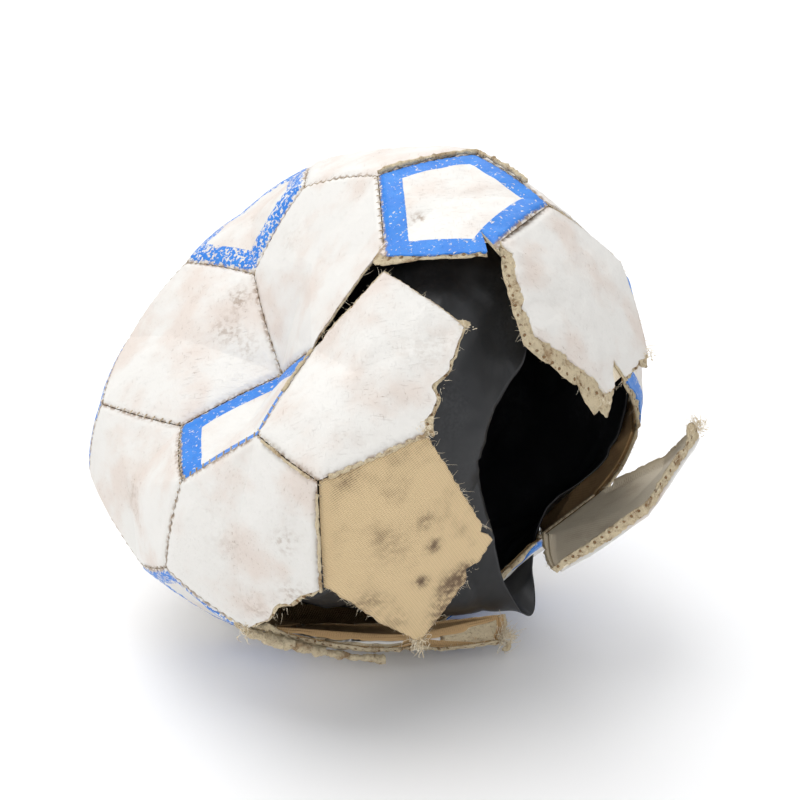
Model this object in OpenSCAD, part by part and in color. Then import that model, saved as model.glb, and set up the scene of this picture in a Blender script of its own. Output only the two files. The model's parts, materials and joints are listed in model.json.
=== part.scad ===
// A hand-stitched 32-panel ball that has burst: 20 white hexagons and 12 blue pentagons over a cloth lining,
// a torn rubber bladder inside, one panel hanging from the top seam and one lying out beside the ball.
// The origin is on the floor under the middle of the ball. +Z is up, -Y is the torn front, +X the open side.

/* [Ball] */
// Outside diameter of the ball when it was round
ball_d = 220; // [180:1:260]
// How far the bottom is pressed flat by the floor
rest_flat = 12; // [8:1:20]
// How far the middle of a panel stands above its corners
puff = 5; // [2:0.5:8]
// How far a seam bows out between its two corners
seam_bow = 1.6; // [0.4:0.2:2.4]

/* [Layers] */
// Thickness of the leather skin
skin_t = 2; // [1.2:0.1:2.6]
// Thickness of the cloth lining glued behind the leather
lining_t = 0.8; // [0.5:0.1:1.4]
// Glue line between the skin and its lining
layer_gap = 0.3; // [0.2:0.05:0.5]
// Gap between two neighbouring leather panels
seam_gap = 0.8; // [0.6:0.1:1.4]
// How far the lining stops short of a seam
lining_inset = 3; // [2:0.1:4]
// Diameter of the waxed seam thread
thread_d = 1; // [0.8:0.1:1.4]
// How much further in the seam thread lies than the lining, by its own radius and this clearance
thread_clear = 0.6; // [0.4:0.1:1.2]

/* [Bladder] */
// Thickness of the rubber
bladder_t = 1.2; // [0.8:0.1:2]
// Depth of the rubber below the round ball's surface
bladder_depth = 15; // [13:0.5:20]
// Half angle of the torn mouth towards the open side
mouth_right = 36; // [24:1:42]
// Half angle of the torn mouth upwards
mouth_up = 26; // [18:1:32]
// Half angle of the torn mouth towards the front
mouth_left = 15; // [10:1:24]
// Half angle of the torn mouth downwards
mouth_down = 30; // [20:1:34]

/* [Valve] */
// Diameter of the valve's rubber stem
stem_d = 9; // [8:0.5:11]
// Diameter of the passage that the pump needle goes through
needle_d = 2; // [1.6:0.1:2.4]
// Diameter of the soft core inside the stem
core_d = 5.6; // [4.6:0.1:6.2]
// Diameter of the stem's flange inside the bladder
flange_d = 24; // [18:1:30]
// Thickness of that flange
flange_t = 1.6; // [1:0.1:2.4]
// Clearance round the stem where it passes through the layers
stem_clear = 0.5; // [0.3:0.1:0.8]

/* [Loose panels] */
// Edge length left on the hanging panel after it frayed
hang_edge = 40; // [36:0.5:44]
// How far the hanging panel stands out from the round ball
hang_fold = 14; // [8:1:30]
// Edge length left on the panel lying out
out_edge = 43; // [36:0.5:44]
// How far the panel lying out is folded back
out_fold = 32; // [30:1:60]

/* [Hidden] */
// Pentagons in the order of their places: one pole, two rings of five, the other pole
TOP = 0;
LEFT = 1;
DENT = 2;
BARE = 3;
RIGHT = 4;
BACK_TOP = 5;
FAR_LEFT = 6;
LOW_LEFT = 7;
LOW_RIGHT = 8;
BACK_RIGHT = 9;
BACK_LEFT = 10;
UNDER = 11;

// Node name, pentagon, how much of the puff its middle keeps
PENTAGONS = [
    ["blue_top", TOP, 0.7],
    ["blue_left", LEFT, 0.6],
    ["blue_dented", DENT, -0.9],
    ["cloth_front", BARE, 1],
    ["blue_right", RIGHT, 0.9],
    ["blue_back_top", BACK_TOP, 0.9],
    ["blue_far_left", FAR_LEFT, 1],
    ["blue_low_left", LOW_LEFT, 0.6],
    ["blue_low_right", LOW_RIGHT, 0.4],
    ["blue_back_right", BACK_RIGHT, 1],
    ["blue_back_left", BACK_LEFT, 1],
    ["blue_under", UNDER, 1.2],
];

// Node name, its three pentagons counter-clockwise from outside, share of the puff
HEXAGONS = [
    ["white_upper_left", TOP, LEFT, DENT, 0.5],
    ["white_front", TOP, DENT, BARE, 1.2],
    ["white_hanging", TOP, BARE, RIGHT, 1],
    ["white_top_right", TOP, RIGHT, BACK_TOP, 0.6],
    ["white_top_left", TOP, BACK_TOP, LEFT, 0.4],
    ["white_left", LEFT, FAR_LEFT, DENT, 1],
    ["white_low_front", DENT, LOW_LEFT, BARE, 1],
    ["white_lying_out", LOW_RIGHT, RIGHT, BARE, 1],
    ["white_back_right", RIGHT, BACK_RIGHT, BACK_TOP, 1],
    ["white_back_top", BACK_TOP, BACK_LEFT, LEFT, 0.8],
    ["white_low_left", DENT, FAR_LEFT, LOW_LEFT, 0.6],
    ["white_torn_strip", BARE, LOW_LEFT, LOW_RIGHT, 0.2],
    ["white_right_low", RIGHT, LOW_RIGHT, BACK_RIGHT, 0.8],
    ["white_valve", BACK_TOP, BACK_RIGHT, BACK_LEFT, 1],
    ["white_back_left", LEFT, BACK_LEFT, FAR_LEFT, 1],
    ["white_under_left", UNDER, LOW_LEFT, FAR_LEFT, 0.8],
    ["white_under_front", UNDER, LOW_RIGHT, LOW_LEFT, 1.7],
    ["white_under_right", UNDER, BACK_RIGHT, LOW_RIGHT, 0.8],
    ["white_under_back", UNDER, BACK_LEFT, BACK_RIGHT, 0.8],
    ["white_under_far", UNDER, FAR_LEFT, BACK_LEFT, 1],
];

// Where the ball has given way: the corner that moved most, how far round it the move reaches, and the move
DENTS = [
    [DENT, LEFT, 60, [44, 14, -46]],
    [LEFT, TOP, 60, [2, 2, -8]],
    [TOP, DENT, 40, [2, 0, -6]],
    [RIGHT, TOP, 80, [10, 10, 8]],
    [BARE, DENT, 50, [-10, -12, -2]],
    [BARE, LOW_LEFT, 40, [-8, -4, -2]],
    [FAR_LEFT, LOW_LEFT, 60, [-16, 0, 12]],
    [LOW_LEFT, BARE, 60, [-14, 0, -8]],
    [TOP, BARE, 40, [12, 2, 8]],
    [LOW_RIGHT, RIGHT, 45, [14, 28, 8]],
    [LOW_RIGHT, BARE, 45, [9, 24, 7]],
    [LOW_LEFT, LOW_RIGHT, 30, [0, 26, 0]],
];

// Where the slack rubber has drawn in further than the panels over it
SLACK = [
    [DENT, FAR_LEFT, 34, [8, 4, 2]],
];

// Corners that tore free of the next panel: the panel, its corner, and how far it moved on its own
FREED = [
    ["cloth_front", BARE, LOW_RIGHT, [-24, -10, -38]],
    ["cloth_front", BARE, RIGHT, [-18, -8, -36]],
    ["cloth_front", BARE, TOP, [-12, -8, -16]],
    ["white_front", BARE, TOP, [-12, -8, -16]],
    ["white_front", TOP, BARE, [-11, -16, -26]],
    ["white_front", TOP, DENT, [0, -8, -6]],
    ["white_torn_strip", BARE, LOW_LEFT, [23, 49, -58]],
    ["white_torn_strip", BARE, LOW_RIGHT, [12, 38, -66]],
    ["white_torn_strip", LOW_RIGHT, BARE, [-10, -8, -30]],
    ["white_lying_out", RIGHT, LOW_RIGHT, [-6, 0, -3]],
    ["white_lying_out", RIGHT, BARE, [-8, 0, 11]],
    ["white_lying_out", BARE, RIGHT, [-5, 0, -5]],
    ["white_lying_out", BARE, LOW_RIGHT, [-6, 0, -15]],
    ["seam_thread", BARE, TOP, [-12, -8, -16]],
];

// Seams that have come undone: two pentagons name the seam between their corners,
// three name the first one's side that faces the other two
OPEN_SEAMS = [
    [TOP, DENT, BARE], [TOP, DENT], [TOP, BARE], [BARE, LOW_LEFT, LOW_RIGHT],
    [BARE, LOW_RIGHT, RIGHT], [BARE, RIGHT, TOP], [BARE, LOW_LEFT], [TOP, RIGHT],
    [RIGHT, TOP, BARE], [BARE, RIGHT], [RIGHT, BARE, LOW_RIGHT], [RIGHT, LOW_RIGHT],
    [BARE, LOW_RIGHT], [LOW_RIGHT, BARE, LOW_LEFT], [TOP, BARE, RIGHT], [LOW_RIGHT, RIGHT, BARE],
];

ball_r = ball_d / 2;
middle_h = ball_r - rest_flat;
MIDDLE = [0, 0, middle_h];
ring_el = atan(0.5);
ball_turn = [-8, -24, 142];
mouth_az = -44;
mouth_el = 4;
patch_rings = 3;
bladder_columns = 32;
bladder_rows = 13;
thread_sides = 5;
thread_end = 0.12;
mouth_wave = 2;
eps = 0.01;

WHITE = [0.93, 0.91, 0.87];
BLUE = [0.16, 0.55, 0.9];
TAN = [0.8, 0.69, 0.51];
BLACK = [0.08, 0.08, 0.09];
CREAM = [0.86, 0.8, 0.66];

function unit(v) = v / norm(v);
function sum(v, i = 0) = i < len(v) - 1 ? v[i] + sum(v, i + 1) : v[i];
function mean(v) = sum(v) / len(v);
function flat(v) = [for (a = v) each a];
function spot(az, el) = [cos(el) * cos(az), cos(el) * sin(az), sin(el)];
function about_x(p, a) = [p[0], p[1] * cos(a) - p[2] * sin(a), p[1] * sin(a) + p[2] * cos(a)];
function about_y(p, a) = [p[0] * cos(a) + p[2] * sin(a), p[1], p[2] * cos(a) - p[0] * sin(a)];
function about_z(p, a) = [p[0] * cos(a) - p[1] * sin(a), p[0] * sin(a) + p[1] * cos(a), p[2]];
function turned(p, t) = about_z(about_y(about_x(p, t[0]), t[1]), t[2]);

// Directions of the twelve pentagons from the middle of the ball
AXES = [
    for (p = [
        [0, 90],
        for (k = [0:4]) [72 * k, ring_el],
        for (k = [0:4]) [36 + 72 * k, -ring_el],
        [0, -90],
    ]) turned(spot(p[0], p[1]), ball_turn)
];

// The five neighbours of a pentagon, counter-clockwise from outside
function upper(k) = 1 + (k + 5) % 5;
function lower(k) = 6 + (k + 5) % 5;
function round_of(a) =
    a == TOP ? [for (k = [0:4]) upper(k)]
    : a == UNDER ? [for (k = [4:-1:0]) lower(k)]
    : a < FAR_LEFT ? [TOP, upper(a - 2), lower(a - 2), lower(a - 1), upper(a)]
    : [upper(a - 6), lower(a - 7), UNDER, lower(a - 5), upper(a - 5)];

// A corner of pentagon a on the round ball, a third of the way to pentagon b
function round_corner(a, b) = ball_r * unit(2 * AXES[a] + AXES[b]);
// The same point after the ball has given way
function given_way(p, dents = DENTS) = p + sum([
    for (d = dents) d[3] * exp(-pow(norm(p - round_corner(d[0], d[1])) / d[2], 2))
]);
function on_floor(p, low = 0) = [p[0], p[1], max(p[2], low)];
function corner(a, b) = on_floor(MIDDLE + given_way(round_corner(a, b)));
function freed(name, a, b) = sum([
    [0, 0, 0],
    for (f = FREED) if (f[0] == name && f[1] == a && f[2] == b) f[3],
]);

function hex_keys(h) = [
    [h[1], h[2]], [h[2], h[1]], [h[2], h[3]], [h[3], h[2]], [h[3], h[1]], [h[1], h[3]],
];
function pent_keys(p) = [for (b = round_of(p[1])) [p[1], b]];
function sewn_corners(name, keys) = [for (k = keys) on_floor(corner(k[0], k[1]) + freed(name, k[0], k[1]))];

// A regular hexagon hung on the seam from A to B, folded out of its old place
function fold_frame(A, B, keys, fold) = let (
    along = unit(B - A),
    hinge = (A + B) / 2,
    old = mean([for (k = keys) corner(k[0], k[1])]) - hinge,
    down = unit(old - along * (old * along)),
    out = unit(cross(along, down))
) [hinge, along, down * cos(fold) + out * sin(fold), out * cos(fold) - down * sin(fold)];
// Its six corners, from B round to A, with what each moved by itself
function folded_corners(h, f, edge) = let (inner = edge * sqrt(3) / 2, keys = hex_keys(h)) [
    for (k = [0:5]) f[0] + f[2] * (inner - edge * cos(60 * k + 30)) + f[1] * edge * sin(60 * k + 30)
        + freed(h[0], keys[k][0], keys[k][1]),
];

HANGING = HEXAGONS[2];
LYING = HEXAGONS[7];
VALVE_PANEL = HEXAGONS[13];
hang_frame = fold_frame(corner(TOP, RIGHT), corner(TOP, BARE), hex_keys(HANGING), hang_fold);
out_frame = fold_frame(corner(LOW_RIGHT, BARE), corner(LOW_RIGHT, RIGHT), hex_keys(LYING), out_fold);

// Each panel becomes [corners, share of the puff, outward direction or undef for away from the middle]
function panel_of_hex(h) =
    h == HANGING ? [folded_corners(h, hang_frame, hang_edge), h[4], hang_frame[3]]
    : h == LYING ? [folded_corners(h, out_frame, out_edge), h[4], out_frame[3]]
    : [sewn_corners(h[0], hex_keys(h)), h[4], undef];
function panel_of_pent(p) = [sewn_corners(p[0], pent_keys(p)), p[2], undef];

// Side of a folded panel that its hinge seam runs along: straight, so that it can turn
HINGE_SIDE = 5;
function outward(panel, p) = is_undef(panel[2]) ? unit(p - MIDDLE) : panel[2];
function facing(panel) = let (C = panel[0], c = mean(C))
    unit(sum([for (i = [0:len(C) - 1]) cross(C[i] - c, C[(i + 1) % len(C)] - c)]));
function seam_point(panel, s, t) = let (
    A = panel[0][s % len(panel[0])],
    B = panel[0][(s + 1) % len(panel[0])],
    bow = !is_undef(panel[2]) && s % len(panel[0]) == HINGE_SIDE ? 0 : seam_bow
) A + t * (B - A) + 4 * t * (1 - t) * bow * outward(panel, (A + B) / 2);

// Point of a panel's outer side: drawn towards the middle by its share and raised by the puff
function raised(panel, rim, share) = let (
    c = mean(panel[0]),
    p = c + share * (rim - c) + puff * panel[1] * (1 - share * share) * facing(panel)
) is_undef(panel[2]) ? on_floor(p) : p;
// Point i of ring k. Only the last ring stops short of the seam, along the straight way to the ring before it,
// so that layers under each other run parallel.
function patch_point(panel, rings, k, i, inset) = let (
    rim = seam_point(panel, floor(i / k), i / k - floor(i / k)),
    back = k == rings ? inset * rings / norm(rim - mean(panel[0])) : 0
) (1 - back) * raised(panel, rim, k / rings) + back * raised(panel, rim, (k - 1) / rings);
function patch_grid(panel, rings, inset) = [
    mean(panel[0]) + puff * panel[1] * facing(panel),
    for (k = [1:rings]) for (i = [0:len(panel[0]) * k - 1]) patch_point(panel, rings, k, i, inset),
];
function sunk(panel, p, depth) =
    is_undef(panel[2]) ? on_floor(p - depth * outward(panel, p), depth) : p - depth * outward(panel, p);

// Triangles between ring k - 1 and ring k of a patch with m sides
function ring_start(m, k) = k == 0 ? 0 : 1 + m * k * (k - 1) / 2;
function ring_index(m, k, i) = k == 0 ? 0 : ring_start(m, k) + i % (m * k);
function patch_faces(m, rings) = [
    for (k = [1:rings]) for (s = [0:m - 1]) each concat(
        [for (j = [0:k - 1]) [
            ring_index(m, k, s * k + j + 1),
            ring_index(m, k, s * k + j),
            ring_index(m, k - 1, s * (k - 1) + j),
        ]],
        [for (j = [0:1:k - 2]) [
            ring_index(m, k, s * k + j + 1),
            ring_index(m, k - 1, s * (k - 1) + j),
            ring_index(m, k - 1, s * (k - 1) + j + 1),
        ]]
    ),
];
function reversed(f) = [f[2], f[1], f[0]];
function shifted(faces, n) = [for (f = faces) [for (i = f) i + n]];

// A closed layer of a panel: its points and its triangles
function layer(panel, rings, inset, depth, thick) = let (
    m = len(panel[0]),
    grid = patch_grid(panel, rings, inset),
    n = len(grid),
    top = patch_faces(m, rings),
    first = ring_start(m, rings),
    count = m * rings
) [
    concat([for (p = grid) sunk(panel, p, depth)], [for (p = grid) sunk(panel, p, depth + thick)]),
    concat(
        top,
        shifted([for (f = top) reversed(f)], n),
        [for (i = [0:count - 1]) each let (a = first + i, b = first + (i + 1) % count)
            [[a, b, b + n], [a, b + n, a + n]]]
    ),
];

// Several closed shells as one solid group
module shells(list) {
    starts = [for (i = 0, n = 0; i < len(list); n = n + len(list[i][0]), i = i + 1) n];
    polyhedron(
        points = flat([for (s = list) s[0]]),
        faces = flat([for (i = [0:len(list) - 1]) shifted(list[i][1], starts[i])])
    );
}

function skin(panel) = layer(panel, patch_rings, seam_gap / 2, 0, skin_t);
function lining(panel) = layer(panel, patch_rings, lining_inset, skin_t + layer_gap, lining_t);

module leather(panel, colour) {
    color(colour) shells([skin(panel)]);
}

// The front pentagon has lost its leather, so only its cloth is left
module cloth_front(panel) {
    color(TAN) shells([layer(panel, patch_rings, seam_gap / 2, skin_t + layer_gap, lining_t)]);
}

// The lining of every panel that is still sewn round its edge
module lining_shell() {
    color(TAN) shells([
        for (p = PENTAGONS) if (p[1] != BARE) lining(panel_of_pent(p)),
        for (h = HEXAGONS) if (h != HANGING && h != LYING && h != VALVE_PANEL) lining(panel_of_hex(h)),
    ]);
}

module lining_hanging() {
    color(TAN) shells([lining(panel_of_hex(HANGING))]);
}

module lining_lying_out() {
    color(TAN) shells([lining(panel_of_hex(LYING))]);
}

// Valve: on the axis from the middle of the ball through the middle of its panel
valve_panel = panel_of_hex(VALVE_PANEL);
valve_top = patch_grid(valve_panel, patch_rings, seam_gap / 2)[0];
valve_axis = unit(valve_top - MIDDLE);
valve_out = norm(valve_top - MIDDLE);
rubber_out = norm(bladder_at(valve_axis, 0));
// The flange lies flat under the domed rubber, whose facets sit a little inside the true curve
rubber_sag = 1;
stem_in = sqrt(pow(rubber_out - bladder_t - rubber_sag, 2) - pow(flange_d / 2, 2)) - flange_t;

module on_valve_axis() {
    translate(MIDDLE)
        rotate([0, acos(valve_axis[2]), atan2(valve_axis[1], valve_axis[0])])
            children();
}

module valve_hole() {
    on_valve_axis() translate([0, 0, stem_in]) cylinder(d = stem_d + 2 * stem_clear, h = ball_r, $fn = 48);
}

module white_valve_leather() {
    color(WHITE) difference() {
        shells([skin(valve_panel)]);
        valve_hole();
    }
}

module lining_valve() {
    color(TAN) difference() {
        shells([lining(valve_panel)]);
        valve_hole();
    }
}

module valve_stem() {
    color(BLACK) on_valve_axis() difference() {
        union() {
            translate([0, 0, stem_in]) cylinder(d = flange_d, h = flange_t, $fn = 64);
            translate([0, 0, stem_in]) cylinder(d = stem_d, h = valve_out - skin_t / 2 - stem_in, $fn = 64);
        }
        translate([0, 0, stem_in - eps]) cylinder(d = core_d + 0.1, h = ball_r, $fn = 64);
    }
}

module valve_core() {
    color(TAN) on_valve_axis() difference() {
        translate([0, 0, stem_in]) cylinder(d = core_d, h = valve_out - skin_t - stem_in, $fn = 64);
        translate([0, 0, stem_in - eps]) cylinder(d = needle_d, h = ball_r, $fn = 48);
    }
}

// Bladder: the round ball's surface drawn in and dented with it, open at the torn mouth
mouth_axis = spot(mouth_az, mouth_el);
mouth_side = spot(mouth_az + 90, 0);
mouth_top = cross(mouth_axis, mouth_side);

function bladder_at(dir, depth) = let (p = given_way(ball_r * dir, concat(DENTS, SLACK)), in = bladder_depth + depth)
    on_floor(MIDDLE + p - in * unit(p), skin_t + layer_gap + lining_t + 3 + depth) - MIDDLE;
function mouth_angle(u) = let (c = cos(u), s = sin(u))
    c * c * (c > 0 ? mouth_right : mouth_left) + s * s * (s > 0 ? mouth_up : mouth_down) + mouth_wave * sin(5 * u);
function bladder_dir(u, v) = let (a = mouth_angle(u) + (180 - mouth_angle(u)) * v)
    cos(a) * mouth_axis + sin(a) * (cos(u) * mouth_side + sin(u) * mouth_top);
function bladder_layer(depth) = [
    for (j = [0:bladder_rows - 1]) for (i = [0:bladder_columns - 1])
        MIDDLE + bladder_at(bladder_dir(360 * i / bladder_columns, j / bladder_rows), depth),
    MIDDLE + bladder_at(-mouth_axis, depth),
];

function bladder_shell() = let (
    nu = bladder_columns,
    n = nu * bladder_rows + 1,
    pole = n - 1,
    side = [
        for (j = [0:bladder_rows - 2]) for (i = [0:nu - 1]) each let (
            a = j * nu + i,
            b = j * nu + (i + 1) % nu
        ) [[a, b, b + nu], [a, b + nu, a + nu]],
        for (i = [0:nu - 1]) [pole - nu + i, pole - nu + (i + 1) % nu, pole],
    ]
) [
    concat(bladder_layer(0), bladder_layer(bladder_t)),
    concat(
        side,
        shifted([for (f = side) reversed(f)], n),
        [for (i = [0:nu - 1]) each let (a = i, b = (i + 1) % nu) [[b, a, a + n], [b, a + n, b + n]]]
    ),
];

module bladder() {
    color(BLACK) difference() {
        shells([bladder_shell()]);
        valve_hole();
    }
}

// Thread along a seam: a thin rod between the linings, under the gap between the two panels
function rod_shell(path, r) = let (
    m = thread_sides,
    rows = len(path),
    along = unit(path[rows - 1] - path[0]),
    side = unit(cross(along, [0.3, 0.5, 0.8])),
    up = cross(along, side),
    points = [for (p = path) for (k = [0:m - 1]) p + r * (cos(360 * k / m) * side + sin(360 * k / m) * up)]
) [
    points,
    concat(
        [for (j = [0:rows - 2]) for (k = [0:m - 1]) each let (a = j * m + k, b = j * m + (k + 1) % m)
            [[a, b + m, b], [a, a + m, b + m]]],
        [[for (k = [0:m - 1]) k]],
        [[for (k = [m - 1:-1:0]) (rows - 1) * m + k]]
    ),
];
function seam_rod(A, B) = rod_shell([
    for (t = [thread_end, 0.5, 1 - thread_end]) let (
        p = A + t * (B - A) + 4 * t * (1 - t) * seam_bow * unit((A + B) / 2 - MIDDLE),
        depth = skin_t + layer_gap + lining_t + thread_d + thread_clear
    ) on_floor(p - depth * unit(p - MIDDLE), depth)
], thread_d / 2);
// The two hinge seams still hold their panels: a straight thread that the panel turns on
module hinge_thread(A, B) {
    span = (1 - 2 * thread_end) * norm(B - A);
    along = unit(B - A);
    hinge = (A + B) / 2;
    color(CREAM)
        translate(hinge - (skin_t + layer_gap + thread_d / 2) * unit(hinge - MIDDLE))
            rotate([0, acos(along[2]), atan2(along[1], along[0])])
                cylinder(d = thread_d, h = span, center = true, $fn = 32);
}
function thread_corner(a, b) = corner(a, b) + freed("seam_thread", a, b);
function is_open(key) = len([for (s = OPEN_SEAMS) if (s == key || (len(key) == 2 && s == [key[1], key[0]])) s]) > 0;

module seam_thread() {
    color(CREAM) shells([
        for (a = [0:11]) let (r = round_of(a)) for (i = [0:4]) let (b = r[i], c = r[(i + 1) % 5])
            if (!is_open([a, b, c]) && !is_open([a, c, b])) seam_rod(thread_corner(a, b), thread_corner(a, c)),
        for (a = [0:10]) for (b = round_of(a)) if (b > a && !is_open([a, b]))
            seam_rod(thread_corner(a, b), thread_corner(b, a)),
    ]);
}

for (p = PENTAGONS) union() {
    if (p[1] == BARE) cloth_front(panel_of_pent(p));
    else leather(panel_of_pent(p), BLUE);
}
for (h = HEXAGONS) union() {
    if (h == VALVE_PANEL) white_valve_leather();
    else leather(panel_of_hex(h), WHITE);
}
lining_shell();
lining_hanging();
lining_lying_out();
lining_valve();
bladder();
valve_stem();
valve_core();
seam_thread();
hinge_thread(corner(TOP, RIGHT), corner(TOP, BARE));  // thread_hanging
hinge_thread(corner(LOW_RIGHT, BARE), corner(LOW_RIGHT, RIGHT));  // thread_lying_out
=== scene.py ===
# %% [markdown]
# # A burst, hand-stitched ball
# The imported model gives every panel, layer and hinge at its real size. This lesson reads the panels'
# corners from it, and then builds the leather, the cloth, the rubber and the thread again as fine
# surfaces that fit it.
# %% Load the frame
import json

import bmesh
import bpy
import numpy as np
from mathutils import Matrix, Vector
from mathutils.bvhtree import BVHTree

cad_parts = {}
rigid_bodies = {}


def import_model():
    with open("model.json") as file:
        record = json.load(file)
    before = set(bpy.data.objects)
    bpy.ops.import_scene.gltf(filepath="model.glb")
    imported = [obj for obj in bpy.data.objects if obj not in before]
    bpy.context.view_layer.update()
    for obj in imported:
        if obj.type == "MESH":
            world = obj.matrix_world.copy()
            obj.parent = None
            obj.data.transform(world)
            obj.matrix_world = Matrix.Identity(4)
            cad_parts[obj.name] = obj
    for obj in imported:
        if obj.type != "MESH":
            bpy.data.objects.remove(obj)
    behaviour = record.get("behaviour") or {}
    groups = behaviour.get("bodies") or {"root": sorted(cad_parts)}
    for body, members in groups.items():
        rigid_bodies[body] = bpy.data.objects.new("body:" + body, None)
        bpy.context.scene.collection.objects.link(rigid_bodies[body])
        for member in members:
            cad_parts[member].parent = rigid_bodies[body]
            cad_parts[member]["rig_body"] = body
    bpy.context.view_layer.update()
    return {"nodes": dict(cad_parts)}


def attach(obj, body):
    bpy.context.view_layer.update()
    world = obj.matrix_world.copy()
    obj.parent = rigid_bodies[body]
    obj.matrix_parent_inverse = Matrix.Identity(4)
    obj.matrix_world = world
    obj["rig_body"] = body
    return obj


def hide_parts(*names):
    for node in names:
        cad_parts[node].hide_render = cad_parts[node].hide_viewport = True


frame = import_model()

MM = 0.001

# %% [markdown]
# ## Camera, floor and light
# The camera stands a little above the ball and looks at its middle. A pale floor and large soft lights
# give the shadow its wide, soft edge. The ball was 220 mm across when it was round. It rests on a flat of
# 12 mm, so its middle is 98 mm up.
# %% Camera
MIDDLE = np.array([0.0, 0.0, 98 * MM])
CAMERA_UP = np.radians(22)
CAMERA_AWAY = 0.66

camera = bpy.data.objects.new("camera", bpy.data.cameras.new("camera"))
bpy.context.scene.collection.objects.link(camera)
camera.location = MIDDLE + CAMERA_AWAY * np.array([0, -np.cos(CAMERA_UP), np.sin(CAMERA_UP)])
camera.rotation_euler = (np.pi / 2 - CAMERA_UP, 0, 0)
camera.data.sensor_width = 36
camera.data.lens = 70.7
camera.data.shift_x = 0.045
camera.data.shift_y = -0.005
bpy.context.scene.camera = camera
bpy.context.scene.view_settings.view_transform = "Standard"
print("camera at", tuple(round(v, 3) for v in camera.location))


# %% Floor and lights
def soft_light(name, place, size, power):
    """A square area light that faces the ball's middle."""
    lamp = bpy.data.objects.new(name, bpy.data.lights.new(name, "AREA"))
    lamp.data.size = size
    lamp.data.energy = power
    lamp.location = place
    lamp.rotation_euler = (Vector(place) - Vector(MIDDLE)).to_track_quat("Z", "Y").to_euler()
    bpy.context.scene.collection.objects.link(lamp)


soft_light("light_above", (-0.3, 0.1, 1.5), 1.1, 10.5)
soft_light("light_front", (0.5, -1.5, 0.9), 0.8, 3.2)
soft_light("light_left", (-1.3, -0.5, 0.7), 0.7, 3.4)
soft_light("light_backdrop", (0, 3.2, 2.4), 3.0, 60)
bpy.data.objects["light_backdrop"].rotation_euler = (0, 0, 0)
world = bpy.data.worlds.new("studio")
world.use_nodes = True
world.node_tree.nodes["Background"].inputs["Color"].default_value = (0.97, 0.98, 1.0, 1)
world.node_tree.nodes["Background"].inputs["Strength"].default_value = 0.66
bpy.context.scene.world = world


# %% [markdown]
# ## Noise
# Worn leather, torn felt and crumpled rubber all need unevenness that is the same each time. Lattice
# noise does it: every lattice point gets a number from its own whole-number place, and a smooth blend
# joins them.
# %% Noise
def lattice_number(cell, seed):
    """A repeatable number from 0 to 1 for each whole-number cell, multiplied and mixed with large numbers."""
    key = (cell[..., 0] * 73856093) ^ (cell[..., 1] * 19349663) ^ (cell[..., 2] * 83492791)
    key = key ^ (seed * 265443576)
    key = (key & 0xFFFFFFFF) * 1274126177 & 0xFFFFFFFF
    key = (key ^ (key >> 15)) * 668265263 & 0xFFFFFFFF
    return ((key ^ (key >> 13)) & 0xFFFF) / 65535.0


def noise(points, size, seed=0):
    """Smooth noise from -1 to 1 with lumps of that size, blended by 3t^2 - 2t^3 along each axis."""
    place = np.asarray(points) / size + 1000.0
    cell = np.floor(place).astype(np.int64)
    part = place - cell
    blend = part * part * (3 - 2 * part)
    total = 0
    for corner in np.ndindex(2, 2, 2):
        share = np.prod(np.where(np.array(corner) == 1, blend, 1 - blend), axis=-1)
        total = total + share * lattice_number(cell + np.array(corner), seed)
    return 2 * total - 1


def rough(points, size, seed=0):
    """Three sizes of noise together, each half as large and half as strong as the one before."""
    return sum(noise(points, size / 2 ** k, seed + k) / 2 ** k for k in range(3)) / 1.75


def unit(v):
    """The same direction at length 1."""
    return v / np.maximum(np.linalg.norm(v, axis=-1, keepdims=True), 1e-12)


def smooth_step(x):
    """0 below 0, 1 above 1, and 3x^2 - 2x^3 between."""
    x = np.clip(x, 0, 1)
    return x * x * (3 - 2 * x)


print("noise at the ball's middle:", round(float(noise(MIDDLE, 20 * MM)), 3))

# %% [markdown]
# ## Measuring the panels
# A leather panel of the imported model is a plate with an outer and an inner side. Its outer side is found
# from its thickness, the rim is the chain of edges that only one outer triangle uses, and the corners are
# where that chain turns most.
# %% Panel corners
SKIN_T = 2.0 * MM
CLOTH_T = 0.8 * MM
HALF_GAP = 0.4 * MM
LOOSE = ("white_hanging", "white_lying_out")
# An outer point moved out by the thickness has no other point within this share of the thickness
OUTER_SHARE = 0.45
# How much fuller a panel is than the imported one
FULLER = {"white_top_left": 5 * MM}


def plate_mesh(name):
    """A node's merged points and triangles."""
    work = bmesh.new()
    work.from_mesh(frame["nodes"][name].data)
    bmesh.ops.remove_doubles(work, verts=work.verts, dist=1e-5)
    points = np.array([v.co for v in work.verts])
    triangles = np.array([[v.index for v in f.verts] for f in work.faces])
    work.free()
    return points, triangles


def rim_chain(points, triangles):
    """Indices in order round the longest closed chain of edges that only one triangle uses."""
    edges = np.vstack([triangles[:, [0, 1]], triangles[:, [1, 2]], triangles[:, [2, 0]]])
    used = {}
    for a, b in edges.tolist():
        used[(a, b)] = True
    following = {a: b for a, b in used if (b, a) not in used}
    chains = []
    while following:
        first, at = following.popitem()
        chain = [first]
        while at != first and at in following:
            chain.append(at)
            at = following.pop(at)
        chains.append(chain)
    return max(chains, key=lambda c: np.linalg.norm(np.diff(points[c], axis=0), axis=1).sum())


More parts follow.
